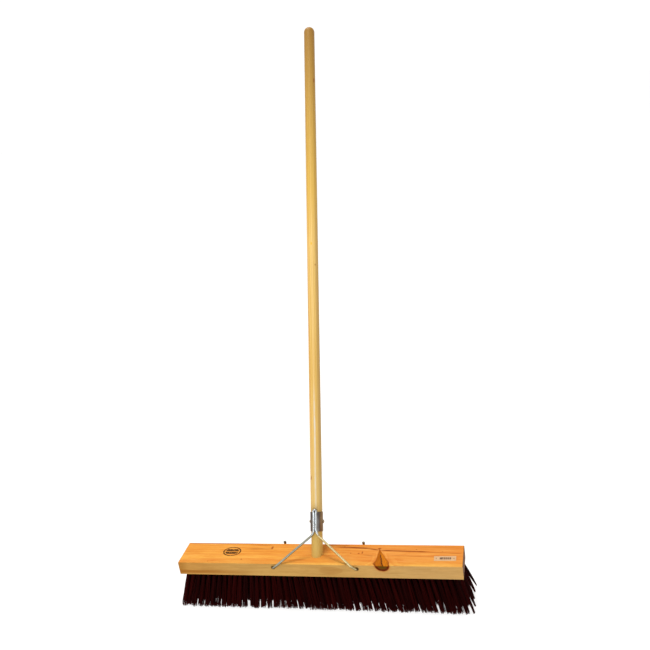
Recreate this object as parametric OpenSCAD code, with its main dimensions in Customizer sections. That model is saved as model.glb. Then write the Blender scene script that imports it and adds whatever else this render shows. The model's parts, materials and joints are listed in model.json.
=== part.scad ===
// Push broom: a wooden head block with five rows of bristle tufts, and a handle that is
// set at a slant into the block and braced by one bent wire on a steel ferrule.
// X runs along the block, Y points the way the handle leans, Z is up from the swept floor.
// The origin is on the floor, under the middle of the block.

/* [Head block] */
// Length of the block along X
block_length = 610; // [560:10:750]
// Width of the block along Y
block_width = 70; // [64:1:84]
// Thickness of the block
block_thickness = 31; // [31:0.5:38]
// Radius of the eased edges of the block
block_edge = 1.5; // [0.5:0.25:3]

/* [Bristle tufts] */
// Height of the block's underside above the floor
bristle_height = 75; // [60:1:90]
// Distance between the tufts of one row
tuft_pitch = 12; // [12:0.5:15]
// Distance between two rows where they leave the block
row_gap = 12; // [11.5:0.25:12.5]
// Distance between two rows at the floor
row_gap_at_floor = 22; // [18:0.5:23]
// Wood between the middle of an end tuft and the end of the block, on average
end_margin = 11; // [11:0.5:20]
// Shift of the whole field of tufts from the middle of the block, towards +X
field_shift = 4; // [0:0.5:4]
// Diameter of the drilled tuft holes
hole_d = 6.8; // [6.6:0.1:7]
// Depth of the drilled tuft holes
hole_depth = 11; // [9:0.5:11]
// Diameter of a tuft where it leaves its hole
tuft_mouth_d = 6.4; // [5.6:0.1:6.5]
// Diameter of a tuft at its tip
tuft_tip_d = 9.6; // [8:0.1:9.6]
// Sideways travel over height of the tufts at the two ends of the block
end_fan = 0.29; // [0.2:0.01:0.3]
// Sideways travel over height that worn tufts near the middle share
middle_lean = 0.17; // [0:0.01:0.18]
// Sideways travel over height by which worn tufts bunch up in front of the handle
middle_wave = 0.05; // [0:0.01:0.05]

/* [Handle] */
// Diameter of the handle
handle_d = 25; // [24:0.5:26]
// Length of the handle, with the end that sits in the block
handle_length = 1220; // [900:10:1500]
// Lean of the handle from upright, towards +Y
handle_tilt = 30; // [26:1:32]
// Depth of the handle's socket, along the handle
socket_depth = 13.7; // [10:0.1:13.7]
// Amount by which the lower end is turned down to seat the ferrule, on the radius
seat_step = 0.4; // [0.4:0.05:0.6]

/* [Ferrule] */
// Length of the ferrule
ferrule_length = 40; // [34:1:40]
// Wall of the ferrule
ferrule_wall = 1.5; // [1.2:0.1:1.6]
// Distance along the handle from the block's top to the ferrule
ferrule_start = 47; // [47:1:52]
// Width of the open seam at the back of the ferrule
seam_width = 1.5; // [0.5:0.1:3]
// Diameter of the cross rivet's shank
rivet_d = 4; // [3:0.1:5]
// Diameter and height of the rivet's factory head
rivet_head = [8, 3]; // [0.5:0.1:9]
// Diameter and height of the rivet's hammered end
rivet_tail = [6.4, 2.6]; // [0.5:0.1:9]

/* [Brace wire] */
// Diameter of the wire
wire_d = 4.5; // [3.5:0.1:4.8]
// Half the distance between the two strands on the ferrule
strand_x = 2.8; // [2.6:0.1:3.4]
// Distance along the handle from the block's top to the closed end of the hairpin
hairpin_top = 94; // [90:1:98]
// Distance along the handle from the block's top to where the legs part
legs_part = 43; // [40:1:46]
// Distance of the wire's holes from the middle of the block, on the front face
front_hole_x = 90; // [80:1:110]
// Places along X where the wire comes out at the back, left and right
rear_hole_x = [-81, 93.5]; // [-110:0.5:110]
// Depth of the wire's holes below the block's top
wire_hole_depth = 9.5; // [8:0.5:10]
// Length of the wire's ends that are bent up against the back of the block
clinch = 15; // [8:0.5:16]

/* [Label] */
// Length and width of the paper label
label_size = [44.5, 15.5]; // [5:0.5:60]
// Distance from the label to the right end of the block
label_gap = 14; // [4:0.5:60]
// Place of the label's middle across the block
label_y = -9.2; // [-20:0.2:20]
// Slight turn with which the label was stuck on
label_turn = 1.5; // [-5:0.5:5]
// Thickness of the label
label_thickness = 0.2; // [0.1:0.05:0.4]

/* [Hidden] */
$fn = 48;
BRISTLE = [0.16, 0.03, 0.02];
WOOD = [0.93, 0.65, 0.36];
POLE = [0.91, 0.77, 0.50];
ZINC = [0.80, 0.82, 0.84];
SHEET_STEEL = [0.50, 0.48, 0.45];
PAPER = [0.90, 0.76, 0.56];
// How far cutting shapes run past the faces that they cut
MARGIN = 5;
// A slanted bundle is drawn longer than the height it stands at, then trimmed at the floor
OVERLONG = 1.25;
ROWS = 5;
middle_row = (ROWS - 1) / 2;
block_top = bristle_height + block_thickness;
tuft_gaps = floor((block_length - 2 * end_margin) / tuft_pitch);
tuft_reach = tuft_gaps * tuft_pitch / 2;
fade_length = 180;
wave_length = 180;
staple_thickness = 0.8;
staple_leg = 3;
staple_width = 5.8;
seat_r = handle_d / 2 - seat_step;
seat_top = ferrule_start + ferrule_length + 3;
ferrule_r = seat_r + ferrule_wall;
rivet_at = ferrule_start + ferrule_length / 2;
wire_r = wire_d / 2;
wire_sides = 16;
arc_steps = 7;
wire_clearance = 0.25;
// Room between the wire and the faces of the block that it lies against
wire_stand_off = wire_r + wire_clearance;
strand_y = -sqrt(pow(ferrule_r + wire_r, 2) - pow(strand_x, 2));
leg_bend = 22;
edge_bend = 8;
hole_bend = 3;
// The leg passes the top front edge of the block just outside this point
edge_point = [front_hole_x - 10.5, -block_width / 2 - 4, block_top - 1];

function unit(v) = v / norm(v);

// ---- Places of the tufts, which stand in a square grid. Row 0 is the front row.
function row_offset(row) = row - middle_row;
function tuft_x(i) = i * tuft_pitch - tuft_reach + field_shift;

// Sideways travel over height: the ends fan out, and the worn middle leans and bunches up
function lean_at(x) =
    end_fan * x / tuft_reach
    + (middle_lean - middle_wave * sin(360 * x / wave_length)) * exp(-pow(x / fade_length, 2));
function splay_of(row) = row_offset(row) * (row_gap_at_floor - row_gap) / bristle_height;
function tuft_direction(row, x) = unit([lean_at(x), splay_of(row), -1]);

// Stands its children on a tuft's axis: the origin is at the mouth of the hole and +Z points down
// the tuft, towards the floor
module on_tuft(row, i) {
    x = tuft_x(i);
    d = tuft_direction(row, x);
    translate([x, row_offset(row) * row_gap, bristle_height])
        rotate([0, acos(d.z), atan2(d.y, d.x)])
            children();
}

module for_each_tuft(row) {
    for (i = [0 : tuft_gaps])
        on_tuft(row, i)
            children();
}

// ---- Places on the handle: the origin is where its axis leaves the block, +Z runs up the handle
module on_handle() {
    translate([0, 0, block_top])
        rotate([-handle_tilt, 0, 0])
            children();
}

function handle_point(p) = [
    p.x,
    p.y * cos(handle_tilt) + p.z * sin(handle_tilt),
    block_top - p.y * sin(handle_tilt) + p.z * cos(handle_tilt)
];

// ---- Round bar that follows a bent route
// Points of the arc that rounds the corner at c between the points a and b
function rounded_corner(a, c, b, r) =
    let (
        to_a = unit(a - c),
        to_b = unit(b - c),
        half = acos(to_a * to_b) / 2,
        centre = c + unit(to_a + to_b) * r / sin(half),
        u = c + to_a * r / tan(half) - centre,
        v = c + to_b * r / tan(half) - centre,
        turn = 180 - 2 * half
    )
    [for (k = [0 : arc_steps])
        let (t = turn * k / arc_steps)
        centre + (u * sin(turn - t) + v * sin(t)) / sin(turn)];

// A corner is [point, radius]; the first and the last stay sharp ends
function rounded_route(corners) =
    let (last = len(corners) - 1)
    [
        corners[0][0],
        for (i = [1 : last - 1])
            each rounded_corner(corners[i - 1][0], corners[i][0], corners[i + 1][0], corners[i][1]),
        corners[last][0]
    ];

function tangents(path) =
    let (last = len(path) - 1)
    [for (i = [0 : last]) unit(path[min(i + 1, last)] - path[max(i - 1, 0)])];

// Carries a normal along the route without twisting it
function normals(along, n, i = 0) =
    i == len(along) ? [] :
    let (m = unit(n - (n * along[i]) * along[i]))
    concat([m], normals(along, m, i + 1));

module round_bar(path, r, sides, first_normal) {
    t = tangents(path);
    n = normals(t, first_normal);
    rings = [for (i = [0 : len(path) - 1])
        for (k = [0 : sides - 1])
            let (a = 360 * k / sides)
            path[i] + r * (cos(a) * n[i] + sin(a) * cross(t[i], n[i]))];
    walls = [for (i = [0 : len(path) - 2])
        for (k = [0 : sides - 1])
            let (next = (k + 1) % sides, low = i * sides, high = low + sides)
            each [[low + k, high + k, high + next], [low + k, high + next, low + next]]];
    first_end = [for (k = [0 : sides - 1]) k];
    last_end = [for (k = [sides - 1 : -1 : 0]) (len(path) - 1) * sides + k];
    polyhedron(rings, concat(walls, [first_end, last_end]));
}

// ---- Rounded rectangle, centred on the origin
module rounded_rectangle(size, r) {
    square([size.x - 2 * r, size.y], center = true);
    square([size.x, size.y - 2 * r], center = true);
    for (sx = [-1, 1])
        for (sy = [-1, 1])
            translate([sx * (size.x / 2 - r), sy * (size.y / 2 - r)])
                circle(r);
}

// ---- Head block
module eased_board() {
    intersection() {
        rotate([90, 0, 90])
            linear_extrude(block_length, center = true)
                rounded_rectangle([block_width, block_thickness], block_edge);
        rotate([90, 0, 0])
            linear_extrude(block_width + MARGIN, center = true)
                rounded_rectangle([block_length, block_thickness], block_edge);
    }
}

module tuft_holes(row) {
    for_each_tuft(row)
        translate([0, 0, -hole_depth])
            cylinder(d = hole_d, h = hole_depth + MARGIN);
}

function wire_hole_z() = block_top - wire_hole_depth;
function rear_hole(side) = side < 0 ? rear_hole_x[0] : rear_hole_x[1];

module wire_hole(side) {
    front = [side * front_hole_x, -block_width / 2 - wire_stand_off, wire_hole_z()];
    rear = [rear_hole(side), block_width / 2 + wire_stand_off, wire_hole_z()];
    run = rear - front;
    translate(front)
        rotate([-90, 0, atan2(run.y, run.x) - 90])
            cylinder(r = wire_r + wire_clearance, h = norm(run));
}

module head_block() {
    color(WOOD)
        difference() {
            translate([0, 0, bristle_height + block_thickness / 2])
                eased_board();
            on_handle()
                translate([0, 0, -socket_depth])
                    cylinder(r = seat_r, h = socket_depth + 3 * MARGIN);
            for (side = [-1, 1])
                wire_hole(side);
            for (row = [0 : ROWS - 1]) {
                tuft_holes(row);
                staples(row);
            }
        }
}

// ---- Bristle tufts: each is a folded bundle, narrow at its staple and wider at its tip
module tufts(row) {
    slope = (tuft_tip_d - tuft_mouth_d) / bristle_height;
    bundle_start = hole_depth - staple_thickness;
    bundle_length = bundle_start + OVERLONG * bristle_height;
    color(BRISTLE)
        for (i = [0 : tuft_gaps])
            intersection() {
                on_tuft(row, i)
                    translate([0, 0, -bundle_start])
                        cylinder(
                            d1 = tuft_mouth_d - slope * bundle_start,
                            d2 = tuft_mouth_d + slope * (bundle_length - bundle_start),
                            h = bundle_length);
                translate([tuft_x(i) - bristle_height, -block_width, 0])
                    cube([2 * bristle_height, 2 * block_width, block_top]);
            }
}

// ---- Staples: each holds the fold of one tuft against the bottom of its hole
module staples(row) {
    for_each_tuft(row)
        translate([0, 0, -hole_depth])
            rotate([90, 0, 0])
                linear_extrude(staple_thickness, center = true)
                    difference() {
                        translate([-staple_width / 2, -staple_leg])
                            square([staple_width, staple_leg + staple_thickness]);
                        translate([staple_thickness - staple_width / 2, -staple_leg - MARGIN])
                            square([staple_width - 2 * staple_thickness, staple_leg + MARGIN]);
                    }
}

// ---- Handle
module rivet_hole() {
    translate([0, 0, rivet_at])
        rotate([0, 90, 0])
            cylinder(d = rivet_d, h = 2 * handle_d, center = true);
}

module handle() {
    straight_top = handle_length - socket_depth - handle_d / 2;
    color(POLE)
        on_handle()
            difference() {
                union() {
                    translate([0, 0, -socket_depth])
                        cylinder(r = seat_r, h = socket_depth + seat_top);
                    translate([0, 0, seat_top])
                        cylinder(d = handle_d, h = straight_top - seat_top);
                    translate([0, 0, straight_top])
                        sphere(d = handle_d);
                }
                rivet_hole();
            }
}

// ---- Ferrule and its rivet
module ferrule() {
    color(SHEET_STEEL)
        on_handle()
            difference() {
                translate([0, 0, ferrule_start])
                    cylinder(r = ferrule_r, h = ferrule_length);
                translate([0, 0, ferrule_start - MARGIN])
                    cylinder(r = seat_r, h = ferrule_length + 2 * MARGIN);
                translate([-seam_width / 2, 0, ferrule_start - MARGIN])
                    cube([seam_width, 2 * handle_d, ferrule_length + 2 * MARGIN]);
                rivet_hole();
            }
}

// Half of a domed rivet end, drawn beside the axis with its flat foot at height zero
module rivet_end_profile(size) {
    radius = size[0] / 2;
    height = size[1];
    ball_r = (pow(radius, 2) + pow(height, 2)) / (2 * height);
    intersection() {
        translate([0, height - ball_r])
            circle(ball_r);
        square([radius, height]);
    }
}

module ferrule_rivet() {
    color(ZINC)
        on_handle()
            translate([0, 0, rivet_at])
                rotate([0, 90, 0])
                    rotate_extrude() {
                        translate([0, -ferrule_r])
                            square([rivet_d / 2, 2 * ferrule_r]);
                        translate([0, ferrule_r])
                            rivet_end_profile(rivet_head);
                        mirror([0, 1])
                            translate([0, ferrule_r])
                                rivet_end_profile(rivet_tail);
                    }
}

// ---- Brace wire: a hairpin on the ferrule whose legs go through the block and are bent up
// Corners of one half of the wire, from its bent-up end to the closed end of the hairpin
function half_wire(side) =
    let (
        rear = [rear_hole(side), block_width / 2 + wire_stand_off, wire_hole_z()],
        front = [side * front_hole_x, -block_width / 2 - wire_stand_off, wire_hole_z()]
    )
    [
        [rear + [0, 0, clinch], 0],
        [rear, hole_bend],
        [front, hole_bend],
        [[side * edge_point.x, edge_point.y, edge_point.z], edge_bend],
        [handle_point([side * strand_x, strand_y, legs_part]), leg_bend],
        [handle_point([side * strand_x, strand_y, hairpin_top - wire_r]), 0.98 * strand_x]
    ];

function reversed(list) = [for (i = [len(list) - 1 : -1 : 0]) list[i]];

module brace_wire() {
    corners = concat(half_wire(-1), reversed(half_wire(1)));
    color(ZINC)
        round_bar(rounded_route(corners), wire_r, wire_sides, [1, 0, 0]);
}

// ---- Label
module paper_label() {
    color(PAPER)
        translate([block_length / 2 - label_gap - label_size.x / 2, label_y,
                   block_top + label_thickness / 2])
            rotate([0, 0, label_turn])
                cube([label_size.x, label_size.y, label_thickness], center = true);
}

head_block();
handle();
ferrule();
ferrule_rivet();
brace_wire();
paper_label();
tufts(0);  // tufts_row_1
tufts(1);  // tufts_row_2
tufts(2);  // tufts_row_3
tufts(3);  // tufts_row_4
tufts(4);  // tufts_row_5
color(ZINC) staples(0);  // staples_row_1
color(ZINC) staples(1);  // staples_row_2
color(ZINC) staples(2);  // staples_row_3
color(ZINC) staples(3);  // staples_row_4
color(ZINC) staples(4);  // staples_row_5
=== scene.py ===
"""The looks of a push broom: pine block, turned pole, zinc wire brace and stiff maroon bristles.

Metres, in the row frame: X along the block, Y the way the handle leans, Z up from the floor.
"""
import json
import math
import random

import bpy
from mathutils import Matrix, Vector


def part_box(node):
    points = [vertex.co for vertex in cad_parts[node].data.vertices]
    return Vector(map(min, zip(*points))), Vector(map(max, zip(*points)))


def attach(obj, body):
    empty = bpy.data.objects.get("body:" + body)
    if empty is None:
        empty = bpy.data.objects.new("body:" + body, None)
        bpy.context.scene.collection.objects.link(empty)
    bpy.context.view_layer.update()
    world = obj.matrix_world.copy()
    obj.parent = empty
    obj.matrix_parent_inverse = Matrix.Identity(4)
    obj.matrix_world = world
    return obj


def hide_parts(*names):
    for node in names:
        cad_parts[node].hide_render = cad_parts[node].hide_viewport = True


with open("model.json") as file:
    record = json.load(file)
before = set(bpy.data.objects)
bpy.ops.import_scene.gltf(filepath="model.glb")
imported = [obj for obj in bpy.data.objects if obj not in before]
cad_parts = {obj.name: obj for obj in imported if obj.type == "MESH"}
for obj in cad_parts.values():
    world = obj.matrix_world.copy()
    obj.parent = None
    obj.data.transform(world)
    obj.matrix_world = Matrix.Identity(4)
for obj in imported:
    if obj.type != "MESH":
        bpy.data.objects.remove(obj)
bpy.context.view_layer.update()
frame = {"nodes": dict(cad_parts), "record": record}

MM = 0.001

# -------- places, read from the frame
BLOCK_LOW, BLOCK_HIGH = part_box("head_block")
BLOCK_TOP = BLOCK_HIGH.z
BLOCK_UNDER = BLOCK_LOW.z
HALF_WIDTH = BLOCK_HIGH.y
GRIP = next(m for m in frame["record"]["mounts"] if m["name"] == "handle_grip")
HANDLE_UP = Vector(GRIP["axis"]).normalized()
HANDLE_RADIUS = GRIP["dims"]["r_mm"] * MM
HANDLE_FOOT = Vector((0, 0, BLOCK_TOP))
TILT = math.atan2(HANDLE_UP.y, HANDLE_UP.z)
# Takes a point on the handle, with Z up its axis from the face of the block, to the row frame
ON_HANDLE = Matrix.Translation(HANDLE_FOOT) @ Matrix.Rotation(-TILT, 4, "X")


def span_on_handle(node):
    """Lowest and highest corner of a CAD node, measured along and across the handle."""
    back = ON_HANDLE.inverted()
    points = [back @ v.co for v in frame["nodes"][node].data.vertices]
    low = Vector([min(p[i] for p in points) for i in range(3)])
    high = Vector([max(p[i] for p in points) for i in range(3)])
    return low, high


def add_object(name, data):
    thing = bpy.data.objects.new(name, data)
    bpy.context.scene.collection.objects.link(thing)
    return thing


def add_mesh(name, points, faces):
    mesh = bpy.data.meshes.new(name)
    mesh.from_pydata(points, [], faces)
    mesh.update()
    return mesh


# -------- camera
CAMERA_PLACE = (0.44573, -1.32032, 1.09692)
AZIMUTH, ELEVATION, ROLL = 15.023, 19.307, -8.589
SENSOR = 36.0
LENS = 43.05


def make_camera():
    a, e, r = (math.radians(v) for v in (AZIMUTH, ELEVATION, ROLL))
    back = Vector((math.sin(a) * math.cos(e), -math.cos(a) * math.cos(e), math.sin(e)))
    level = (-back).cross(Vector((0, 0, 1))).normalized()
    upright = level.cross(-back)
    right = math.cos(r) * level + math.sin(r) * upright
    up = math.cos(r) * upright - math.sin(r) * level
    data = bpy.data.cameras.new("camera")
    data.sensor_width = SENSOR
    data.lens = LENS
    data.clip_start = 0.05
    data.clip_end = 60
    camera = add_object("camera", data)
    turn = Matrix((right, up, back)).transposed()
    camera.matrix_world = Matrix.Translation(CAMERA_PLACE) @ turn.to_4x4()
    bpy.context.scene.camera = camera


make_camera()


# -------- shader nodes, in short form
class Nodes:
    """Builds a tree of nodes. Every call returns a socket that the next call can take."""

    def __init__(self, tree):
        self.tree = tree

    def put(self, socket, value):
        """Links a socket to the input, or sets the input to a plain value."""
        if isinstance(value, bpy.types.NodeSocket):
            self.tree.links.new(value, socket)
        elif value is not None:
            socket.default_value = value

    def add(self, kind, inputs=(), out=0, **settings):
        """Adds a node with these inputs and settings, and gives one of its outputs."""
        node = self.tree.nodes.new(kind)
        for key, value in settings.items():
            setattr(node, key, value)
        for key, value in dict(inputs).items():
            self.put(node.inputs[key], value)
        return node.outputs[out]

    def math(self, operation, a, b=None, c=None):
        return self.add("ShaderNodeMath", {0: a, 1: b, 2: c}, operation=operation)

    def times(self, *values):
        result = values[0]
        for value in values[1:]:
            result = self.math("MULTIPLY", result, value)
        return result

    def gap(self, a, b):
        """How far apart two values are."""
        return self.math("ABSOLUTE", self.math("SUBTRACT", a, b))

    def most(self, *values):
        """The largest of the values."""
        result = values[0]
        for value in values[1:]:
            result = self.math("MAXIMUM", result, value)
        return result

    def vector(self, operation, a, b=None, out=0):
        return self.add("ShaderNodeVectorMath", {0: a, 1: b}, out, operation=operation)

    def length(self, vector):
        return self.vector("LENGTH", vector, out=1)

    def rotate(self, vector, axis, angle):
        inputs = {"Vector": vector, "Angle": angle}
        return self.add("ShaderNodeVectorRotate", inputs, rotation_type=axis)

    def place(self):
        return self.add("ShaderNodeTexCoord", out="Object")

    def normal(self):
        return self.add("ShaderNodeNewGeometry", out="Normal")

    def place_on_handle(self):
        """Coordinates with Z up the handle's axis, from the face of the block."""
        from_foot = self.vector("SUBTRACT", self.place(), tuple(HANDLE_FOOT))
        return self.rotate(from_foot, "X_AXIS", TILT)

    def parts(self, vector):
        """A vector's X, Y and Z."""
        return self.add("ShaderNodeSeparateXYZ", {0: vector}, out=slice(3))

    def join(self, x, y, z):
        return self.add("ShaderNodeCombineXYZ", {0: x, 1: y, 2: z})

    def noise(self, vector, scale, detail=3, roughness=0.5):
        """Noise from 0 to 1. A scale of three numbers stretches it."""
        if not isinstance(scale, (int, float)):
            vector, scale = self.vector("MULTIPLY", vector, scale), 1.0
        return self.add("ShaderNodeTexNoise", {
            "Vector": vector, "Scale": scale, "Detail": detail, "Roughness": roughness})

    def wander(self, vector, scale, reach, detail=2):
        """Noise centred on zero, up to about `reach` either way."""
        return self.times(self.math("SUBTRACT", self.noise(vector, scale, detail), 0.5), 2 * reach)

    def spread(self, value, low, high, to_low=0.0, to_high=1.0, smooth=False):
        """Maps low..high to to_low..to_high, and holds the ends."""
        kind = "SMOOTHSTEP" if smooth else "LINEAR"
        return self.add("ShaderNodeMapRange", {
            "Value": value, "From Min": low, "From Max": high,
            "To Min": to_low, "To Max": to_high}, interpolation_type=kind)

    def fade(self, value, full, none):
        """One at `full`, zero at `none`, smooth between them."""
        return self.spread(value, full, none, 1.0, 0.0, smooth=True)

    def mix(self, share, a, b):
        """Colour `b` laid over colour `a`, by a share from 0 to 1."""
        return self.add("ShaderNodeMix", {"Factor": share, 6: a, 7: b}, 2, data_type="RGBA")

    def bump(self, height, distance, strength=1.0):
        return self.add("ShaderNodeBump", {
            "Height": height, "Distance": distance, "Strength": strength})


class Shader(Nodes):
    """One material's nodes."""

    def __init__(self, name):
        self.material = bpy.data.materials.new(name)
        self.material.use_nodes = True
        super().__init__(self.material.node_tree)
        self.surface = self.tree.nodes["Principled BSDF"]

    def finish(self, colour, roughness, normal=None, metallic=0.0, specular=0.5, coat=0.0,
               coat_roughness=0.1):
        values = {"Base Color": colour, "Roughness": roughness, "Normal": normal,
                  "Metallic": metallic, "Specular IOR Level": specular, "Coat Weight": coat,
                  "Coat Roughness": coat_roughness}
        for key, value in values.items():
            self.put(self.surface.inputs[key], value)
        return self.material


def rgb(red, green, blue):
    """A colour given as 0..255 screen values, turned into the linear values that shaders take."""
    def linear(v):
        v /= 255
        return v / 12.92 if v <= 0.04045 else ((v + 0.055) / 1.055) ** 2.4
    return (linear(red), linear(green), linear(blue), 1.0)


# -------- pine of the head block
# The pith runs along the block, below and in front of its middle, so the top is flat-sawn
PITH = Vector((0, -0.022, BLOCK_TOP - 0.060))
RING = 3.9 * MM
# Scales of the grain's noises along X, Y and Z: long along the block and fine across it
STREAK_SCALE = (18, 135, 135)
FIBRE_SCALE = (26, 800, 800)
PORE_SCALE = (90, 2200, 2200)
CLOUD_SCALE = (6, 26, 26)
# A spike knot: a branch that lies in the top face and comes out through the front face
KNOT_TIP = Vector((0.1300, 0.0215, BLOCK_TOP - 0.0005))
KNOT_END = Vector((0.1432, -HALF_WIDTH, BLOCK_TOP - 0.0005))
KNOT_RADIUS = 17.9 * MM
KNOT_FLATNESS = 1.05
# The knot widens as this power of the way along it, and bulges at its left corner
KNOT_WIDENING = 1.20
CORNER_PLACE, CORNER_REACH, CORNER_BULGE = 0.82, 0.16, 0.28
# Below the arris the knot is cut across, and its rim is wider: where that starts and is complete
CUT_STARTS, CUT_COMPLETE = BLOCK_TOP - 0.0012, BLOCK_TOP - 0.0022
# Late-wood lines on the top. Each has its Y where it starts and its slope, the X where it starts
# and stops, its half-width in millimetres and how dark it is.
LATE_LINES = [
    (0.0248, -0.045, 0.032, 0.122, 2.2, 1.00),
    (0.0215, -0.170, 0.098, 0.138, 2.0, 1.00),
    (0.0155, -0.035, 0.126, 0.240, 1.8, 0.95),
    (0.0132, -0.060, 0.200, 0.310, 0.9, 0.60),
    (-0.0005, -0.040, 0.150, 0.300, 1.1, 0.40),
    (-0.0010, -0.110, 0.096, 0.128, 2.4, 0.45),
    (0.0270, -0.010, 0.205, 0.305, 0.6, 0.40),
    (0.0150, 0.010, -0.168, -0.095, 2.4, 0.42),
    (0.0285, 0.000, -0.160, -0.100, 1.8, 0.50),
    (0.0330, 0.000, -0.310, -0.140, 1.2, 0.75),
    (0.0310, -0.020, 0.015, 0.075, 1.5, 0.60),
]
# Pin knots and specks on the top: place along X and Y, and half-sizes along them in millimetres
SPECKS = [(0.1306, 0.0205, 5.2, 3.9), (-0.105, 0.0195, 3.3, 7.4), (-0.1635, -0.021, 2.2, 2.6),
          (0.0885, 0.004, 2.9, 2.4), (0.0960, 0.0065, 2.1, 5.4), (0.0715, 0.004, 2.3, 1.7),
          (-0.238, -0.029, 1.7, 1.3), (0.208, 0.019, 2.0, 1.5), (0.262, 0.014, 1.5, 1.1),
          (0.055, 0.026, 1.9, 1.4)]
STAMP_PLACE = Vector((-0.193, 0.005, BLOCK_TOP))
STAMP_HALF = Vector((0.0205, 0.0155))
WIRE_HOLE_X = 90 * MM
WIRE_HOLE_DEPTH = 9.5 * MM
# On the front face: how high a brown streak runs above the foot, and a rounded patch
FOOT_STREAK_HEIGHT = 8.5 * MM
PATCH_PLACE = (0.034, -HALF_WIDTH, BLOCK_UNDER + 0.0165)
PATCH_SHAPE = (0.30, 1.0, 0.82)


def knot_field(s, place):
    """Distance from the knot's axis over its own radius there, how far along, and the offset."""
    run = KNOT_END - KNOT_TIP
    direction = tuple(run.normalized())
    offset = s.vector("SUBTRACT", place, tuple(KNOT_TIP))
    along = s.vector("DOT_PRODUCT", offset, direction, out=1)
    on_axis = s.add("ShaderNodeVectorMath", {0: direction, 3: along}, operation="SCALE")
    away = s.vector("SUBTRACT", offset, on_axis)
    flattened = s.vector("MULTIPLY", away, (1, 1, KNOT_FLATNESS))
    share = s.math("DIVIDE", along, run.length)
    widening = s.math("POWER", s.most(share, 0.01), KNOT_WIDENING)
    narrowing = s.spread(share, 0.80, 1.0, 1.0, 0.75)
    own_radius = s.times(widening, narrowing, KNOT_RADIUS)
    ratio = s.math("DIVIDE", s.length(flattened), own_radius)
    off_x, _, _ = s.parts(away)
    corner = s.fade(s.gap(share, CORNER_PLACE), 0.0, CORNER_REACH)
    corner = s.times(corner, s.spread(off_x, -0.45 * KNOT_RADIUS, -0.95 * KNOT_RADIUS))
    ratio = s.math("SUBTRACT", ratio, s.times(corner, CORNER_BULGE))
    return s.math("ADD", ratio, s.wander(place, 110, 0.10)), share, away


def late_wood(s, place, knot):
    """Growth rings: light early wood darkens slowly to late wood and starts light again."""
    x, y, z = s.parts(place)
    across = s.math("SUBTRACT", y, s.math("MULTIPLY_ADD", x, 0.020, PITH.y))
    above = s.math("SUBTRACT", z, s.math("MULTIPLY_ADD", x, -0.010, PITH.z))
    radius = s.length(s.join(0.0, across, above))
    radius = s.math("ADD", radius, s.wander(place, (2.4, 12, 12), 4.5 * MM, 3))
    radius = s.math("ADD", radius, s.wander(place, (14, 70, 70), 0.9 * MM))
    pushed = s.times(s.fade(knot, 0.9, 2.6), 5 * MM)
    saw = s.math("FRACT", s.math("DIVIDE", s.math("ADD", radius, pushed), RING))
    return s.times(s.spread(saw, 0.25, 0.86, smooth=True), s.spread(saw, 0.9, 1.0, 1.0, 0.0))


def drawn_lines(s, place):
    """The few strongest late-wood lines on the top."""
    x, y, _ = s.parts(place)
    sway = s.wander(place, (9, 4, 4), 1.2 * MM)
    broken = s.spread(s.noise(place, (30, 160, 160), 2), 0.34, 0.56, 0.60, 1.0)
    total = 0.0
    for at_y, slope, start, stop, half, darkness in LATE_LINES:
        middle = s.math("MULTIPLY_ADD", x, slope, at_y - slope * start)
        off = s.gap(s.math("ADD", y, sway), middle)
        line = s.fade(off, 0.2 * half * MM, 1.7 * half * MM)
        ends = s.times(s.spread(x, start, start + 0.02), s.fade(x, stop - 0.02, stop))
        total = s.most(s.times(line, ends, broken, darkness), total)
    return total


def ink_stamp(s, place):
    """A generic stamp: an oval line round two bars, unevenly inked."""
    x, y, z = s.parts(s.vector("SUBTRACT", place, tuple(STAMP_PLACE)))
    u = s.math("DIVIDE", x, STAMP_HALF.x)
    v = s.math("DIVIDE", y, STAMP_HALF.y)
    oval = s.length(s.join(u, v, 0.0))
    line = s.math("COMPARE", oval, 0.92, 0.075)
    stripes = s.math("COMPARE", s.math("ABSOLUTE", v), 0.30, 0.23)
    inner = s.times(stripes, s.math("LESS_THAN", oval, 0.74))
    patchy = s.spread(s.noise(place, 330, 3, 0.6), 0.34, 0.42)
    return s.times(s.most(line, inner), patchy, s.math("GREATER_THAN", z, -0.6 * MM))


def knot_heart(s, place, knot, share, bend, below):
    """Dark heart wood with its own rings, paler right of the crack and browner where cut across."""
    grain = s.noise(place, (150, 40, 150), 3, 0.6)
    left = s.mix(grain, rgb(134, 66, 0), rgb(188, 106, 2))
    right = s.mix(grain, rgb(138, 68, 0), rgb(214, 128, 14))
    heart = s.mix(s.spread(bend, -1.0 * MM, 2.0 * MM), left, right)
    rings = s.math("FRACT", s.times(knot, 3.6))
    heart = s.mix(s.spread(rings, 0.35, 0.95, 0.0, 0.35), heart, rgb(96, 44, 0))
    heart = s.mix(s.times(s.fade(share, 0.12, 0.45), 0.8), heart, rgb(138, 68, 0))
    sawn = s.mix(s.fade(knot, 0.30, 0.80), rgb(104, 62, 4), rgb(92, 62, 4))
    return s.mix(below, heart, sawn)


def knot_rim(s, place, knot, share, begun, below):
    """How dark the rim of bark is: thin on the top face, and wide where the knot is cut across."""
    thin = s.times(s.spread(knot, 0.84, 0.94, smooth=True), s.spread(share, 0.60, 0.88, 0.55, 1.0))
    wide = s.spread(knot, 0.58, 0.80, smooth=True)
    rim = s.add("ShaderNodeMix", {"Factor": below, "A": thin, "B": wide})
    rim = s.times(rim, s.fade(knot, 1.00, 1.10), begun)
    return s.times(rim, s.spread(s.noise(place, 90, 2), 0.32, 0.52, 0.72, 1.0))


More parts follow.
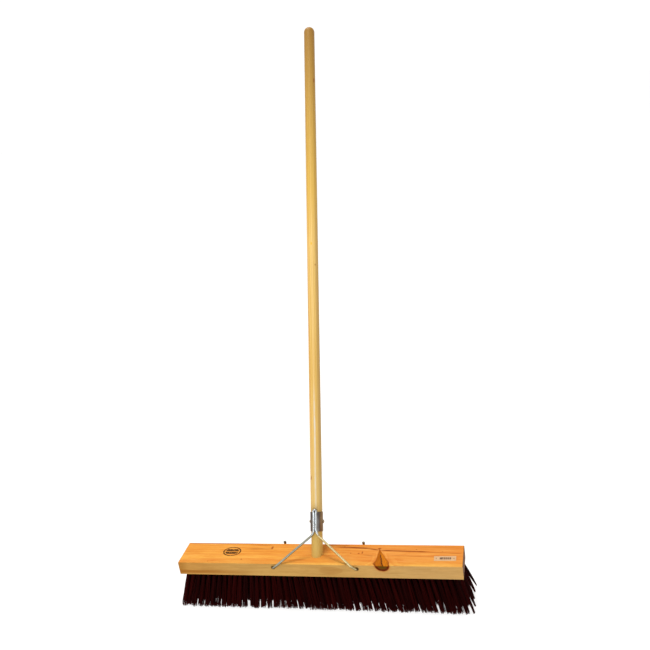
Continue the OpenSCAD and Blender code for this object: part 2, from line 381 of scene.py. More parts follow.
def knot_crack(s, knot, share, bend, below):
    """A drying crack down the knot's middle, on the top face only."""
    width = s.spread(share, 0.3, 0.75, 0.5 * MM, 1.2 * MM)
    crack = s.math("LESS_THAN", s.math("ABSOLUTE", bend), width)
    crack = s.times(crack, s.fade(below, 0.0, 1.0), s.spread(share, 0.30, 0.42))
    return s.times(crack, s.math("LESS_THAN", knot, 0.85))


def knot_colour(s, place, wood, knot, share, away):
    """Lays the knot over the wood: heart, bark, halo and crack. Also gives the crack."""
    _, _, z = s.parts(place)
    off_x, _, _ = s.parts(away)
    bend = s.math("ADD", off_x, s.wander(place, (30, 70, 70), 3.4 * MM))
    begun = s.spread(share, 0.0, 0.05)
    below = s.spread(z, CUT_STARTS, CUT_COMPLETE)
    inside = s.times(s.spread(knot, 0.92, 1.0, 1.0, 0.0), begun)
    wood = s.mix(inside, wood, knot_heart(s, place, knot, share, bend, below))
    bark = s.mix(below, rgb(98, 36, 0), rgb(92, 28, 0))
    wood = s.mix(knot_rim(s, place, knot, share, begun, below), wood, bark)
    halo = s.times(s.spread(knot, 0.94, 1.04), s.fade(knot, 1.0, 1.35), begun, 0.50)
    wood = s.mix(halo, wood, rgb(186, 104, 30))
    crack = knot_crack(s, knot, share, bend, below)
    return s.mix(s.times(crack, 0.9), wood, rgb(62, 24, 0)), crack


def specks(s, place):
    """How dark the small pin knots on the top are."""
    total = 0.0
    for at_x, at_y, half_x, half_y in SPECKS:
        offset = s.vector("SUBTRACT", place, (at_x, at_y, BLOCK_TOP))
        shrunk = (1 / (half_x * MM), 1 / (half_y * MM), 1 / (half_x * MM))
        reach = s.length(s.vector("MULTIPLY", offset, shrunk))
        reach = s.math("ADD", reach, s.wander(place, 500, 0.15))
        total = s.most(s.fade(reach, 0.3, 1.0), total)
    return total


def hole_mouth_shade(s, place):
    """Painted shade round the mouths of the holes where the wire goes in."""
    total = 0.0
    for side in (-1, 1):
        at = (side * WIRE_HOLE_X, -HALF_WIDTH, BLOCK_TOP - WIRE_HOLE_DEPTH)
        reach = s.length(s.vector("SUBTRACT", place, at))
        reach = s.math("ADD", reach, s.wander(place, 420, 0.7 * MM))
        total = s.most(s.fade(reach, 3.4 * MM, 5.4 * MM), total)
    return total


def planed_top(s, place, cloud):
    """The planed and oiled top is orange, paler at its front edge and redder at its back edge."""
    x, y, _ = s.parts(place)
    share = s.spread(cloud, 0.3, 0.7)
    left = s.mix(share, rgb(205, 140, 54), rgb(210, 152, 66))
    right = s.mix(share, rgb(192, 122, 48), rgb(204, 138, 62))
    top = s.mix(s.spread(x, -0.10, 0.14), left, right)
    top = s.mix(s.spread(y, -0.60 * HALF_WIDTH, -0.92 * HALF_WIDTH), top, rgb(208, 156, 70))
    return s.mix(s.times(s.spread(y, 0.55 * HALF_WIDTH, HALF_WIDTH), 0.4), top, rgb(194, 118, 42))


def sawn_side(s, place, cloud):
    """The sawn front and back are khaki, browner at the left and greyer at the right."""
    x, _, _ = s.parts(place)
    side = s.mix(s.spread(cloud, 0.3, 0.7), rgb(186, 142, 76), rgb(200, 157, 88))
    side = s.mix(s.fade(x, -0.295, -0.10), side, rgb(188, 136, 66))
    side = s.mix(s.times(s.fade(x, -0.303, -0.280), 0.6), side, rgb(152, 98, 26))
    return s.mix(s.times(s.spread(x, 0.05, 0.20), 0.7), side, rgb(194, 154, 96))


def pine_grain(s, place, wood, late, upward, fibre, pores):
    """Rings, streaks, fibres and pores. They're redder and stronger on the planed top."""
    dark = s.mix(upward, rgb(160, 112, 52), rgb(180, 88, 22))
    streak = s.noise(place, STREAK_SCALE, 4, 0.6)
    ring_strength = s.spread(upward, 0.0, 1.0, 0.12, 0.32)
    wood = s.mix(s.times(late, ring_strength), wood, dark)
    wood = s.mix(s.spread(streak, 0.50, 0.80, 0.0, 0.60), wood, dark)
    wood = s.mix(s.spread(streak, 0.48, 0.24, 0.0, 0.30), wood, rgb(222, 168, 92))
    wood = s.mix(s.spread(fibre, 0.45, 0.75, 0.0, 0.34), wood, dark)
    wood = s.mix(s.spread(pores, 0.52, 0.75, 0.0, 0.40), wood, dark)
    return s.mix(s.times(drawn_lines(s, place), upward), wood, rgb(120, 50, 8))


def front_marks(s, place, wood, upward):
    """A wavy brown streak along the foot of the front face at the left, and one rounded patch."""
    x, _, z = s.parts(place)
    upright = s.math("SUBTRACT", 1.0, upward)
    foot_z = s.math("ADD", z, s.wander(place, (9, 0, 0), 2.0 * MM))
    foot = s.gap(foot_z, BLOCK_UNDER + FOOT_STREAK_HEIGHT)
    foot = s.times(s.fade(foot, 2.0 * MM, 5.5 * MM), s.fade(x, -0.27, -0.10), upright)
    wood = s.mix(s.times(foot, 0.75), wood, rgb(150, 90, 22))
    patch = s.vector("SUBTRACT", place, PATCH_PLACE)
    patch = s.length(s.vector("MULTIPLY", patch, PATCH_SHAPE))
    patch = s.math("ADD", patch, s.wander(place, (40, 90, 90), 1.5 * MM))
    patch = s.times(s.fade(patch, 6.5 * MM, 8.5 * MM), upright)
    return s.mix(s.times(patch, 0.45), wood, rgb(168, 118, 56))


def pine_block():
    s = Shader("pine_block")
    place = s.place()
    normal_x, _, normal_z = s.parts(s.normal())
    upward = s.spread(normal_z, 0.35, 0.75)
    knot, share, away = knot_field(s, place)
    late = late_wood(s, place, knot)
    fibre = s.noise(place, FIBRE_SCALE, 3, 0.6)
    pores = s.noise(place, PORE_SCALE, 2, 0.5)
    cloud = s.noise(place, CLOUD_SCALE, 2)

    wood = s.mix(upward, sawn_side(s, place, cloud), planed_top(s, place, cloud))
    wood = pine_grain(s, place, wood, late, upward, fibre, pores)
    wood = front_marks(s, place, wood, upward)
    wood, crack = knot_colour(s, place, wood, knot, share, away)
    wood = s.mix(s.times(specks(s, place), 0.80), wood, rgb(124, 50, 8))
    # painted shade round the wire holes
    wood = s.mix(s.times(hole_mouth_shade(s, place), 0.8), wood, rgb(58, 40, 20))
    # end grain is darker wood, and painted shade darkens both end faces further, as if turned from
    # the light
    end_grain_and_shade = s.mix(late, rgb(116, 66, 18), rgb(70, 36, 8))
    wood = s.mix(s.spread(s.math("ABSOLUTE", normal_x), 0.5, 0.8), wood, end_grain_and_shade)
    wood = s.mix(s.times(ink_stamp(s, place), 0.93), wood, rgb(44, 24, 8))

    height = s.math("ADD", s.times(fibre, 0.6), s.times(late, 0.5))
    height = s.math("SUBTRACT", height, s.times(pores, 0.4))
    height = s.math("SUBTRACT", height, s.times(crack, 2.5))
    roughness = s.spread(fibre, 0.3, 0.7, 0.46, 0.62)
    return s.finish(wood, roughness, s.bump(height, 0.22 * MM, 0.6), specular=0.05)


# -------- wood of the turned handle
# Pin knots on the pole: place across it, front or back, height and size in millimetres, and colour
POLE_SPECKS = [(11.2, -1, 1068, 4.0, (128, 72, 22)), (0.5, -1, 674, 2.6, (213, 163, 24)),
               (8.0, -1, 625, 1.8, (150, 92, 36)), (-8.4, -1, 158, 3.2, (150, 84, 8)),
               (-6.0, 1, 905, 2.2, (128, 72, 22)), (3.0, 1, 430, 3.0, (128, 72, 22)),
               (-8.0, 1, 240, 1.8, (128, 72, 22))]
POLE_RING = 4.2 * MM
# Its grain is fine across the pole and long up it
POLE_FIBRE_SCALE = (700, 700, 14)
POLE_CLOUD_SCALE = (20, 20, 3.5)


def pole_specks(s, place, wood):
    """Lays the pin knots over the wood, each stretched along the pole."""
    for across, side, height, size, colour in POLE_SPECKS:
        depth = side * math.sqrt((HANDLE_RADIUS / MM) ** 2 - across ** 2)
        offset = s.vector("SUBTRACT", place, (across * MM, depth * MM, height * MM))
        reach = s.length(s.vector("MULTIPLY", offset, (1.0, 1.0, 0.5)))
        reach = s.math("ADD", reach, s.wander(place, 500, 0.4 * MM))
        share = s.times(s.fade(reach, 0.3 * size * MM, size * MM), 0.8)
        wood = s.mix(share, wood, rgb(*colour))
    return wood


def pole_rings(s, place):
    """The turned pole cuts its growth rings at a slant, so they run along it as long streaks."""
    x, y, z = s.parts(place)
    sway = s.wander(place, (9, 9, 1.5), 5 * MM, 3)
    layer = s.math("ADD", s.math("MULTIPLY_ADD", y, 0.55, x), sway)
    layer = s.math("MULTIPLY_ADD", z, 0.009, layer)
    saw = s.math("FRACT", s.math("DIVIDE", layer, POLE_RING))
    return s.times(s.spread(saw, 0.3, 0.85, smooth=True), s.spread(saw, 0.88, 1.0, 1.0, 0.0))


def pole_sides(s, x, swayed, wood):
    """Painted shade darkens both edges of the round pole, on redder wood at the left and browner at
    the right. A pale line is a painted highlight, and a brown line is grain.
    """
    # painted shade at the left edge, with redder wood
    left = s.times(s.spread(x, -0.35 * HANDLE_RADIUS, -HANDLE_RADIUS), 0.65)
    wood = s.mix(left, wood, rgb(186, 124, 52))
    # painted shade at the right edge
    right = s.times(s.spread(x, 0.66 * HANDLE_RADIUS, HANDLE_RADIUS), 0.55)
    wood = s.mix(right, wood, rgb(134, 98, 50))
    # painted highlight: a pale line of glare up the pole
    pale = s.fade(s.gap(swayed, 0.12 * HANDLE_RADIUS), 0.6 * MM, 3.4 * MM)
    wood = s.mix(s.times(pale, 0.25), wood, rgb(234, 204, 146))
    brown = s.fade(s.gap(swayed, 0.74 * HANDLE_RADIUS), 0.3 * MM, 1.6 * MM)
    return s.mix(s.times(brown, 0.22), wood, rgb(136, 96, 50))


def pole_tones_and_top_shade(s, z, wood, length):
    """A yellow cast high on the pole, and painted shade that darkens its top, where the light falls
    off. The foot is paler, and yellow below the ferrule.
    """
    wood = s.mix(s.spread(z, 0.56 * length, 0.67 * length, 0.0, 0.38), wood, rgb(186, 147, 20))
    # painted shade: the top of the pole darkens as the light falls off
    wood = s.mix(s.spread(z, 0.66 * length, length), wood, rgb(140, 102, 44))
    wood = s.mix(s.times(s.fade(z, 0.10 * length, 0.22 * length), 0.5), wood, rgb(198, 170, 108))
    return s.mix(s.times(s.fade(z, 40 * MM, 52 * MM), 0.7), wood, rgb(206, 172, 86))


def sheen_strip(s, place, swayed, length):
    """A painted highlight: the varnish's sheen as a pale narrow strip above the ferrule."""
    _, _, z = s.parts(place)
    strip = s.fade(s.gap(swayed, 0.13 * HANDLE_RADIUS), 0.9 * MM, 2.5 * MM)
    strip = s.times(strip, s.fade(z, 0.23 * length, 0.31 * length))
    strip = s.times(strip, s.spread(z, 0.040 * length, 0.15 * length, 0.0, 0.74))
    return s.times(strip, s.spread(s.noise(place, (60, 60, 45), 2), 0.34, 0.60, 0.55, 1.0))


def pole_wood(length):
    s = Shader("pole_wood")
    place = s.place_on_handle()
    x, _, z = s.parts(place)
    late = pole_rings(s, place)
    fibre = s.noise(place, POLE_FIBRE_SCALE, 3, 0.6)
    cloud = s.noise(place, POLE_CLOUD_SCALE, 2)
    swayed = s.math("ADD", x, s.wander(place, (8, 8, 6), 1.2 * MM))

    wood = s.mix(s.spread(cloud, 0.3, 0.7), rgb(207, 170, 92), rgb(217, 184, 110))
    dark = rgb(186, 136, 60)
    wood = s.mix(s.times(late, 0.45), wood, dark)
    wood = s.mix(s.spread(fibre, 0.45, 0.75, 0.0, 0.35), wood, dark)
    wood = pole_sides(s, x, swayed, wood)
    # tints up the pole, and painted shade at its top
    wood = pole_tones_and_top_shade(s, z, wood, length)
    # painted highlight: a pale strip of sheen above the ferrule
    wood = s.mix(sheen_strip(s, place, swayed, length), wood, rgb(206, 204, 194))
    wood = pole_specks(s, place, wood)

    height = s.math("ADD", s.times(late, 0.4), fibre)
    roughness = s.spread(fibre, 0.3, 0.7, 0.36, 0.50)
    return s.finish(wood, roughness, s.bump(height, 0.18 * MM, 0.5), specular=0.14, coat=0.06,
                    coat_roughness=0.25)


# -------- metals, paper and plastic
def metal(name, clean, dull, roughness, patch_scale, grain, scratched=0.3, painted_shading=None, leg_reflections=None):
    """Plated or bare steel, with cloudy patches and fine scratches stretched by `grain`.

    The shading argument gives the share and colour of painted shade and painted reflections. The
    two leg colours are painted reflections, for the wire's left leg and its right leg.
    """
    s = Shader(name)
    place = s.place_on_handle()
    cloud = s.noise(place, patch_scale, 4, 0.6)
    scratch = s.noise(place, grain, 3, 0.7)
    colour = s.mix(s.spread(cloud, 0.38, 0.66), clean, dull)
    colour = s.mix(s.spread(scratch, 0.55, 0.8, 0.0, scratched), colour, dull)
    # painted reflections: each leg of the wire gets its own reflected colour
    if leg_reflections is not None:
        x, _, height = s.parts(place)
        leg = s.mix(s.spread(x, -4 * MM, 4 * MM), *leg_reflections)
        colour = s.mix(s.fade(height, LEGS_PART - 6 * MM, LEGS_PART + 4 * MM), colour, leg)
    # painted shade and painted reflections laid over the metal
    if painted_shading is not None:
        share, painted_colour = painted_shading(s)
        colour = s.mix(share, colour, painted_colour)
    rough = s.math("MULTIPLY_ADD", cloud, 0.16, roughness - 0.08)
    rough = s.math("MULTIPLY_ADD", scratch, 0.10, rough)
    normal = s.bump(s.math("MULTIPLY_ADD", scratch, 0.5, cloud), 0.10 * MM, scratched)
    return s.finish(colour, rough, normal, metallic=0.95)


def wire_painted_shade(s):
    """Painted shade on the wire: over the hairpin's top bend, where it goes into the block, at the
    back of the block and along its underside.
    """
    place = s.place()
    _, y, _ = s.parts(place)
    _, _, normal_z = s.parts(s.normal())
    # painted shade at the back of the block, on the underside, over the top bend and round the
    # holes
    shade_behind_block = s.spread(y, HALF_WIDTH, HALF_WIDTH + 0.5 * MM, 0.0, 0.8)
    below = s.spread(normal_z, 0.26, -0.24, 0.0, 0.85, smooth=True)
    _, _, height = s.parts(s.place_on_handle())
    bend = s.spread(height, HAIRPIN_TOP - 7 * MM, HAIRPIN_TOP - 4 * MM, 0.0, 0.50)
    shade_at_holes = s.times(hole_mouth_shade(s, place), 0.9)
    return s.most(shade_at_holes, shade_behind_block, below, bend), rgb(84, 66, 42)


def ferrule_painted_reflections(s):
    """Painted shade and painted reflections on both sides of the ferrule: dark brown at the sides
    and the wood's yellow-brown reflection at the right edge, with random streaks along it.
    """
    place = s.place_on_handle()
    x, _, _ = s.parts(place)
    ragged = s.math("ADD", x, s.wander(place, (500, 500, 40), 1.2 * MM))
    # painted shade at the left and right sides of the round sleeve
    left = s.spread(ragged, -0.50 * HANDLE_RADIUS, -0.72 * HANDLE_RADIUS, 0.0, 0.92, smooth=True)
    right = s.spread(ragged, 0.46 * HANDLE_RADIUS, 0.62 * HANDLE_RADIUS, 0.0, 0.80, smooth=True)
    streaks = s.spread(s.noise(place, (420, 420, 16), 3), 0.52, 0.68, 0.0, 0.45)
    # painted reflection of the wood at the right edge
    painted_wood_reflection = s.spread(ragged, 0.68 * HANDLE_RADIUS, 0.90 * HANDLE_RADIUS)
    painted_side_shade = s.mix(s.spread(x, -2 * MM, 2 * MM), rgb(60, 44, 28), rgb(66, 54, 46))
    return s.most(left, right, streaks), s.mix(painted_wood_reflection, painted_side_shade, rgb(120, 84, 28))


def label_paper(middle):
    """Buff paper with generic printed bars."""
    s = Shader("label_paper")
    offset = s.vector("SUBTRACT", s.place(), tuple(middle))
    flat = s.rotate(offset, "Z_AXIS", -LABEL_TURN)
    x, y, _ = s.parts(flat)
    paper = s.mix(s.noise(flat, 160, 3), rgb(178, 138, 96), rgb(192, 155, 114))
    u = s.math("DIVIDE", x, LABEL_SIZE.x)
    v = s.math("DIVIDE", y, LABEL_SIZE.y)
    bars = s.math("GREATER_THAN", s.noise(s.join(x, 0.0, 0.0), 480, 0), 0.40)
    middle_part = s.math("LESS_THAN", s.math("ABSOLUTE", u), 0.27)
    field = s.times(middle_part, s.math("COMPARE", v, 0.02, 0.22))
    near_ends = s.math("COMPARE", s.math("ABSOLUTE", u), 0.40, 0.02)
    marks = s.times(near_ends, s.math("COMPARE", v, 0.0, 0.10))
    ink = s.most(s.times(bars, field), marks)
    worn = s.spread(s.noise(flat, 300, 2), 0.3, 0.6, 0.45, 0.95)
    colour = s.mix(s.times(ink, worn), paper, rgb(58, 34, 26))
    return s.finish(colour, 0.62, s.bump(s.noise(flat, 700, 3), 0.04 * MM, 0.5), specular=0.3)


def bristle_plastic():
    """Maroon plastic, nearly black in the depth of the brush. Every filament differs a little."""
    s = Shader("bristle_plastic")
    place = s.place()
    _, _, z = s.parts(place)
    own = s.add("ShaderNodeAttribute", out="Fac", attribute_name="filament_tone")
    colour = s.mix(own, rgb(17, 1, 1), rgb(52, 3, 2))
    colour = s.mix(s.spread(z, 10 * MM, 0.0, 0.0, 0.35), colour, rgb(88, 16, 10))
    streak = s.noise(place, (900, 900, 120), 2)
    roughness = s.spread(streak, 0.3, 0.7, 0.50, 0.66)
    return s.finish(colour, roughness, s.bump(streak, 0.08 * MM, 0.5), specular=0.025)


# -------- mesh pieces
def piece(name, mesh, material, node, matrix=None):
    """Puts a finished mesh in the scene, in place of its CAD node."""
    if matrix is not None:
        mesh.transform(matrix)
    mesh.polygons.foreach_set("use_smooth", [True] * len(mesh.polygons))
    mesh.materials.append(material)
    thing = add_object(name, mesh)
    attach(thing, "root")
    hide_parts(node)


def circle(count, radius=1.0):
    return [(radius * math.cos(2 * math.pi * k / count), radius * math.sin(2 * math.pi * k / count))
            for k in range(count)]


def tube_faces(first, rings, sides):
    """Faces of a closed tube whose points start at `first`, with a flat face at each end."""
    last = first + (rings - 1) * sides
    faces = [tuple(range(first + sides - 1, first - 1, -1))]
    for low in range(first, last, sides):
        high = low + sides
        for k in range(sides):
            nxt = (k + 1) % sides
            faces.append((low + k, low + nxt, high + nxt, high + k))
    faces.append(tuple(range(last, last + sides)))
    return faces


def tube_mesh(name, rings):
    points = [tuple(p) for ring in rings for p in ring]
    return add_mesh(name, points, tube_faces(0, len(rings), len(rings[0])))


def lathe(name, profile, sides):
    """Turns (radius, height) pairs round Z, from the bottom up."""
    return tube_mesh(name, [[(x, y, h) for x, y in circle(sides, r)] for r, h in profile])


# The pole stays this far under the CAD's top, and its turning varies by this much
HANDLE_ROOM, UNEVENNESS = 0.05 * MM, 0.06 * MM
# It's turned down this far under the ferrule, and is full again this far above it
SEAT_DEPTH, SEAT_RUNOUT = 0.4 * MM, 3 * MM
# A small flat face of this radius closes each end
END_FACE = 0.3 * MM


def handle_profile(low_z, length):
    """Radius and height up the pole: a chamfered, turned-down seat, a straight run and a dome."""
    seat_top = span_on_handle("ferrule")[1].z + SEAT_RUNOUT
    straight_top = length - HANDLE_RADIUS
    run = straight_top - seat_top
    seat_radius = HANDLE_RADIUS - SEAT_DEPTH
    steps, dome_steps = 60, 14
    profile = [(END_FACE, low_z), (0.95 * seat_radius, low_z), (seat_radius, low_z + 1 * MM),
               (seat_radius, seat_top - 0.3 * MM), (HANDLE_RADIUS, seat_top)]
    for i in range(1, steps + 1):
        dip = UNEVENNESS * (1 - math.cos(2.4 * i))
        profile.append((HANDLE_RADIUS - dip, seat_top + run * i / steps))
    for i in range(1, dome_steps):
        a = math.pi / 2 * i / dome_steps
        profile.append((HANDLE_RADIUS * math.cos(a), straight_top + HANDLE_RADIUS * math.sin(a)))
    profile.append((END_FACE, length))
    return profile


def make_handle():
    low, high = span_on_handle("handle")
    length = high.z - HANDLE_ROOM
    mesh = lathe("handle_pole", handle_profile(low.z, length), 64)
    piece("handle_pole", mesh, pole_wood(length), "handle", ON_HANDLE)


def make_ferrule():
    """A strip of sheet steel rolled round the pole, with its seam open at the back."""
    low, high = span_on_handle("ferrule")
    outer, wall, ease = high.x, 1.5 * MM, 0.4 * MM
    inner = outer - wall
    half_seam = math.asin(0.75 * MM / outer)
    soft = 0.3 * ease
    section = [(outer, low.z + ease), (outer, high.z - ease), (outer - soft, high.z - soft),
               (outer - ease, high.z), (inner + ease, high.z), (inner, high.z - ease),
               (inner, low.z + ease), (inner + ease, low.z), (outer - ease, low.z),
               (outer - soft, low.z + soft)]
    sides = 90
    rings = []
    for k in range(sides + 1):
        a = math.pi / 2 + half_seam + (2 * math.pi - 2 * half_seam) * k / sides
        rings.append([(r * math.cos(a), r * math.sin(a), z) for r, z in section])
    # the steel gets painted shade and painted reflections at its sides
    steel = metal("dull_sheet_steel", clean=(0.33, 0.31, 0.29, 1), dull=(0.18, 0.165, 0.15, 1),
                  roughness=0.32, patch_scale=60, grain=(900, 900, 50), painted_shading=ferrule_painted_reflections)
    mesh = tube_mesh("ferrule_sleeve", rings)
    piece("ferrule_sleeve", mesh, steel, "ferrule", ON_HANDLE)


def make_rivet():
    """A round-headed rivet: factory head on +X, hammered tail on -X."""
    low, high = span_on_handle("ferrule_rivet")
    face = span_on_handle("ferrule")[1].x
    head_r = (high.y - low.y) / 2
    tail_r, shank_r, point = 3.2 * MM, 2.0 * MM, 0.2 * MM
    steps = 8
    quarter = [math.pi / 2 * i / steps for i in range(steps + 1)]
    tail_rise, head_rise = low.x + face, high.x - face
    profile = [(max(tail_r * math.sin(a), point), tail_rise * math.cos(a) - face) for a in quarter]
    profile += [(shank_r, -face), (shank_r, face)]
    profile += [(max(head_r * math.cos(a), point), head_rise * math.sin(a) + face) for a in quarter]
    turn = Matrix.Translation((0, 0, (low.z + high.z) / 2)) @ Matrix.Rotation(math.pi / 2, 4, "Y")
    steel = metal("rivet_steel", clean=(0.38, 0.29, 0.18, 1), dull=(0.25, 0.17, 0.10, 1),
                  roughness=0.34, patch_scale=200, grain=(400, 400, 400))
    mesh = lathe("cross_rivet", profile, 40)
    piece("cross_rivet", mesh, steel, "ferrule_rivet", ON_HANDLE @ turn)


# -------- brace wire
WIRE_RADIUS = 2.25 * MM
# On the handle: how far out the strands and the eye are, and the heights where each part begins
STRAND_X, EYE_X = 2.3 * MM, 3.0 * MM
LEGS_PART = 43 * MM
EYE_FOOT, EYE_FLARE = 84.5 * MM, 3 * MM
HAIRPIN_TOP = 94 * MM
STAND_OFF = WIRE_RADIUS + 0.25 * MM
EDGE_POINT = Vector((79.5 * MM, -HALF_WIDTH - 4 * MM, BLOCK_TOP - 1 * MM))
REAR_HOLE_X = {-1: -81 * MM, 1: 93.5 * MM}
HOLE_BEND, EDGE_BEND, LEG_BEND = 3 * MM, 8 * MM, 22 * MM
# The ends behind the block stop this far under the CAD's
CLINCH_ROOM = 0.8 * MM
# The ends are hammered a little flat: inset from the end, width and depth over the wire's own
HAMMERED_END = [(0, 0.45, 0.30), (0.35 * MM, 0.95, 0.62), (1.1 * MM, 1.30, 0.84),
                (2.2 * MM, 1.42, 0.88), (4.2 * MM, 1.38, 0.90), (7.5 * MM, 1.02, 1.0),
                (8.5 * MM, 1.0, 1.0)]


def rounded(corners, steps=12):
    """Rounds each inner corner of a route. A corner is (point, radius)."""
    path = [corners[0][0]]
    for (a, _), (c, r), (b, _) in zip(corners, corners[1:], corners[2:]):
        to_a, to_b = (a - c).normalized(), (b - c).normalized()
        half = to_a.angle(to_b) / 2
        centre = c + (to_a + to_b).normalized() * r / math.sin(half)
        u = c + to_a * r / math.tan(half) - centre
        v = c + to_b * r / math.tan(half) - centre
        turn = math.pi - 2 * half
        for k in range(steps + 1):
            t = turn * k / steps
            path.append(centre + (u * math.sin(turn - t) + v * math.sin(t)) / math.sin(turn))
    path.append(corners[-1][0])
    return path


def bar_along(name, path, radius, sides, end_shape):
    """Round bar along a path. `end_shape` has (inset, width, depth), from each upright end."""
    last = len(path) - 1
    tangents = [(path[min(i + 1, last)] - path[max(i - 1, 0)]).normalized()
                for i in range(last + 1)]
    normal = Vector((1, 0, 0))
    rings = []
    for i, (at, tangent) in enumerate(zip(path, tangents)):
        normal = (normal - normal.dot(tangent) * tangent).normalized()
        side = tangent.cross(normal)
        ring = [x * normal + y * side for x, y in circle(sides, radius)]
        if 0 < i < last:
            rings.append([at + p for p in ring])
            continue
        inward = tangent if i == 0 else -tangent
        stations = [[at + inward * inset + Vector((p.x * width, p.y * depth, p.z)) for p in ring]
                    for inset, width, depth in end_shape]
        rings += stations if i == 0 else stations[::-1]
    return tube_mesh(name, rings)


def half_wire(side, clinch_top):
    """The route of one half of the wire, from its turned-up rear end to the hairpin's top."""
    front_y = HALF_WIDTH + STAND_OFF
    hole_z = BLOCK_TOP - WIRE_HOLE_DEPTH
    strand_y = -math.sqrt((span_on_handle("ferrule")[1].x + WIRE_RADIUS) ** 2 - STRAND_X ** 2)
    return [
        (Vector((REAR_HOLE_X[side], front_y, clinch_top)), 0),
        (Vector((REAR_HOLE_X[side], front_y, hole_z)), HOLE_BEND),
        (Vector((side * WIRE_HOLE_X, -front_y, hole_z)), HOLE_BEND),
        (Vector((side * EDGE_POINT.x, EDGE_POINT.y, EDGE_POINT.z)), EDGE_BEND),
        (ON_HANDLE @ Vector((side * STRAND_X, strand_y, LEGS_PART)), LEG_BEND),
        (ON_HANDLE @ Vector((side * STRAND_X, strand_y, EYE_FOOT)), 3 * MM),
        (ON_HANDLE @ Vector((side * EYE_X, strand_y, EYE_FOOT + EYE_FLARE)), 2 * MM),
        (ON_HANDLE @ Vector((side * EYE_X, strand_y, HAIRPIN_TOP - WIRE_RADIUS)), 0.98 * EYE_X),
    ]


def make_brace():
    vertices = frame["nodes"]["brace_wire"].data.vertices
    clinch_top = max(v.co.z for v in vertices if v.co.y > HALF_WIDTH) - CLINCH_ROOM
    corners = half_wire(-1, clinch_top) + half_wire(1, clinch_top)[::-1]
    mesh = bar_along("brace_hairpin", rounded(corners), WIRE_RADIUS, 24, HAMMERED_END)
    # painted reflections on the two wire legs, yellow-brown at the right and olive grey at the
    # left, and painted shade laid over the wire
    leg_reflections = ((0.35, 0.35, 0.27, 1), (0.57, 0.45, 0.22, 1))
    zinc = metal("zinc_wire", clean=(0.57, 0.62, 0.65, 1), dull=(0.40, 0.40, 0.38, 1),
                 roughness=0.28, patch_scale=60, grain=(90, 90, 90), scratched=0.12,
                 painted_shading=wire_painted_shade, leg_reflections=leg_reflections)
    piece("brace_hairpin", mesh, zinc, "brace_wire")


# -------- label
LABEL_SIZE = Vector((44.5 * MM, 15.5 * MM))
LABEL_TURN = math.radians(1.5)
LABEL_CORNER = 1.5 * MM
LABEL_WAVE = 0.03 * MM
LABEL_COLUMNS, LABEL_ROWS = 36, 12


def label_layer(lifted, thick):
    """A grid of points for the label's under face (lifted is 0) or upper face (1)."""
    layer = []
    for j in range(LABEL_ROWS + 1):
        for i in range(LABEL_COLUMNS + 1):
            u, v = i / LABEL_COLUMNS - 0.5, j / LABEL_ROWS - 0.5
            past = abs(u) * LABEL_SIZE.x - LABEL_SIZE.x / 2 + LABEL_CORNER
            past = max(0.0, past) / LABEL_CORNER
            y = v * LABEL_SIZE.y * (1 - 0.06 * past ** 2)
            wave = LABEL_WAVE * math.sin(9 * u) * math.cos(7 * v)
            layer.append((u * LABEL_SIZE.x, y, lifted * (0.75 * thick + wave)))
    return layer


def label_mesh(thick):
    """A thin sheet whose corners are a little rounded and whose face isn't quite flat."""
    points = label_layer(0, thick) + label_layer(1, thick)
    above = len(points) // 2
    stride = LABEL_COLUMNS + 1
    starts = [j * stride + i for j in range(LABEL_ROWS) for i in range(LABEL_COLUMNS)]
    quads = [(k, k + 1, k + stride + 1, k + stride) for k in starts]
    rim = list(range(stride))
    rim += [j * stride + LABEL_COLUMNS for j in range(1, LABEL_ROWS + 1)]
    rim += [LABEL_ROWS * stride + i for i in range(LABEL_COLUMNS - 1, -1, -1)]
    rim += [j * stride for j in range(LABEL_ROWS - 1, 0, -1)]
    faces = [quad[::-1] for quad in quads]
    faces += [tuple(above + k for k in quad) for quad in quads]
    faces += [(a, b, above + b, above + a) for a, b in zip(rim, rim[1:] + rim[:1])]
    return add_mesh("label_sticker", points, faces)


def make_label():
    low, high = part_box("paper_label")
    middle = Vector(((low.x + high.x) / 2, (low.y + high.y) / 2, low.z))
    turn = Matrix.Translation(middle) @ Matrix.Rotation(LABEL_TURN, 4, "Z")
    mesh = label_mesh(high.z - low.z)
    piece("label_sticker", mesh, label_paper(middle), "paper_label", turn)


# -------- bristles
FILAMENTS = 40
FILAMENT_RADIUS = 0.66 * MM
FILAMENT_SIDES, FILAMENT_STEPS = 5, 5
HIDDEN_ROOT = 4 * MM
MOUTH_RADIUS = 2.5 * MM
TIP_RADIUS = 5.9 * MM
# Free room at the row's right end, and how bunched the tufts of the last two columns are there
END_ROOM = 4.0 * MM
END_BUNCHING = (0.65, 0.26)
BRISTLE_SEED = 100
GOLDEN_ANGLE = math.pi * (3 - math.sqrt(5))
# Least and most: wear of a whole tuft in millimetres, its splay, and a filament's thickness
TUFT_WEAR = (0.0, 2.2)
TUFT_SPLAY = (0.90, 1.16)
THICKNESS = (0.88, 1.08)
TIP_THICKNESS = 0.75
# Scatter of a filament round its tuft in radians, and in how far it leans out
TURN_SCATTER, LEAN_SCATTER = 0.3, 0.15
# The share of a filament's tone that it has from its tuft
SHARED_TONE = 0.35
# Scatter along X and Y in millimetres: of a whole tuft's tip, of a filament's tip and of its bow
TUFT_BEND = (1.3, 1.2)
TIP_SCATTER = (0.9, 0.8)
BOW_SCATTER = (0.9, 0.9)
# Filaments are cut short by this scatter in millimetres, once the slack is taken up
CUT_SCATTER, CUT_SLACK = 2.2, 1.2 * MM


